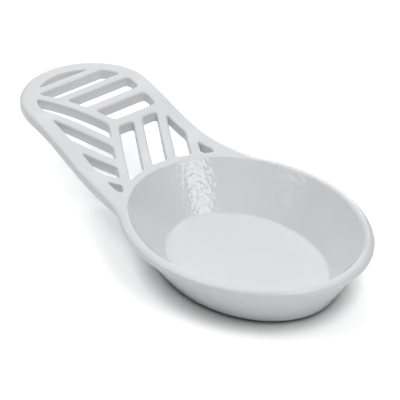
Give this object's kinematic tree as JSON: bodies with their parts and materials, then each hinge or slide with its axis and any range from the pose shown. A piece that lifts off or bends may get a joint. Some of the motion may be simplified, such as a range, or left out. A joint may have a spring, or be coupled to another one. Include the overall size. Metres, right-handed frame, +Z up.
{
  "type": "spoon rest",
  "caption": "Enamelled cast-iron spoon rest: an oval dish with a rounded rim and a broad, gently rising openwork handle of ribs that branch from a hub, standing on rubber pads.",
  "frame": {"origin": "on the table, under the middle of the whole length and width", "axes": "+X from the handle to the dish, +Y to the left when looking along +X, +Z up"},
  "size_m": [0.2268, 0.1124, 0.0424],
  "materials": {
    "enamel": "gloss off-white vitreous enamel with a slight orange-peel surface, matt dark ground coat under the base",
    "pad_rubber": "matt black moulded rubber"
  },
  "bodies": {
    "root": {"casting": "enamel", "foot_front_left": "pad_rubber", "foot_front_right": "pad_rubber", "foot_rear_left": "pad_rubber", "foot_rear_right": "pad_rubber"}
  },
  "joints": []
}
